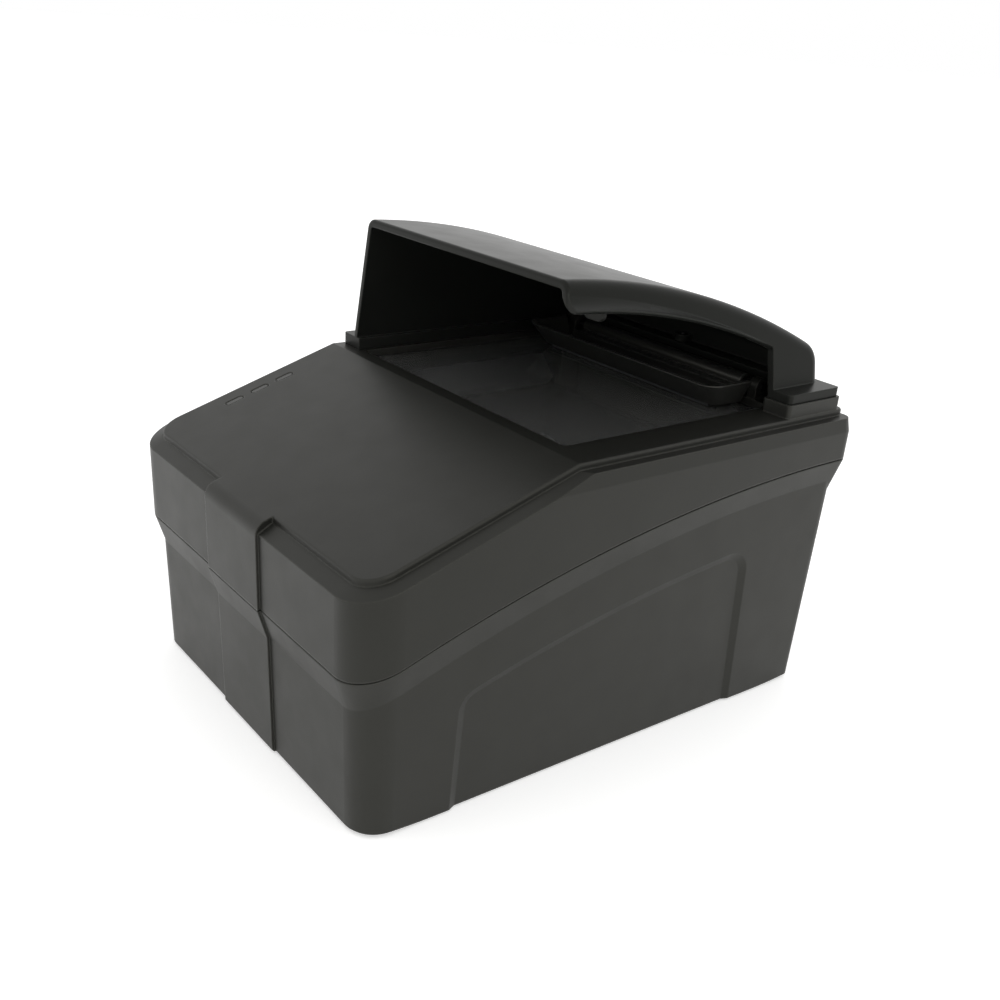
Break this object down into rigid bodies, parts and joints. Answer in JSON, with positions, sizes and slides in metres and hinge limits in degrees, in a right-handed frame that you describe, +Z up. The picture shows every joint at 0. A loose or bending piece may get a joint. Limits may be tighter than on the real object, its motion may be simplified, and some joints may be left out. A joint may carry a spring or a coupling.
{
  "type": "passport reader",
  "caption": "Desktop full-page document reader with a sloping front, a glass platen, a curved light hood open at the front and right side, and a hinged hold-down flap.",
  "frame": {"origin": "on the table under the middle of the case, below the middle of its footprint", "axes": "+Z up, +X to the right of the person in front, +Y to the back, away from the sloping front"},
  "size_m": [0.168, 0.2166, 0.1688],
  "materials": {
    "case_plastic": "satin, fine texture",
    "hood_plastic": "semi-gloss",
    "foot_rubber": "matte",
    "platen_glass": "polished",
    "gasket_rubber": "matte",
    "board_green": "solder mask",
    "board_white": "white solder mask",
    "frame_plastic": "matte black",
    "steel": "satin",
    "clear_lens": "translucent",
    "led_body": "translucent",
    "front_mirror": "front silvered",
    "diffuser": "frosted",
    "bracket_aluminium": "brushed",
    "sensor_ceramic": "satin",
    "lens_barrel": "matte black",
    "lens_glass": "coated",
    "standoff_brass": "turned",
    "chip_plastic": "matte",
    "sink_aluminium": "anodised black",
    "socket_shell": "plated",
    "can_aluminium": "sleeved",
    "header_plastic": "matte",
    "cable_skin": "matte",
    "flap_plastic": "satin",
    "foam_pad": "foam"
  },
  "bodies": {
    "case": {"top_cover": "case_plastic", "lower_housing": "case_plastic", "hood": "hood_plastic", "base_plate": "case_plastic", "rubber_feet": "foot_rubber", "scan_glass": "platen_glass", "glass_gasket": "gasket_rubber", "antenna_board": "board_green", "glass_retainer": "frame_plastic", "flap_hinge_pin": "steel", "status_windows": "clear_lens", "indicator_board": "board_green", "indicator_leds": "led_body", "indicator_screws": "steel", "optical_frame": "frame_plastic", "fold_mirror": "front_mirror", "mirror_clips": "steel", "light_boards": "board_white", "light_diffusers": "diffuser", "illumination_leds": "led_body", "camera_bracket": "bracket_aluminium", "camera_board": "board_green", "image_sensor": "sensor_ceramic", "lens_holder": "frame_plastic", "camera_lens": "lens_barrel", "lens_element": "lens_glass", "main_board": "board_green", "board_standoffs": "standoff_brass", "board_chips": "chip_plastic", "heat_sink": "sink_aluminium", "usb_socket": "socket_shell", "buzzer": "chip_plastic", "capacitors": "can_aluminium", "board_headers": "header_plastic", "camera_cable": "cable_skin", "case_screws": "steel", "base_screws": "steel", "hood_screws": "steel", "retainer_screws": "steel", "chassis_screws": "steel", "board_screws": "steel"},
    "flap": {"hold_down_flap": "flap_plastic", "flap_pad": "foam_pad"}
  },
  "joints": [
    {"name": "flap_tilt", "type": "hinge", "parent": "case", "child": "flap", "pos_m": [0, 0.085, 0.1209], "axis": [-1, 0, 0], "range_deg": [0, 35]}
  ]
}
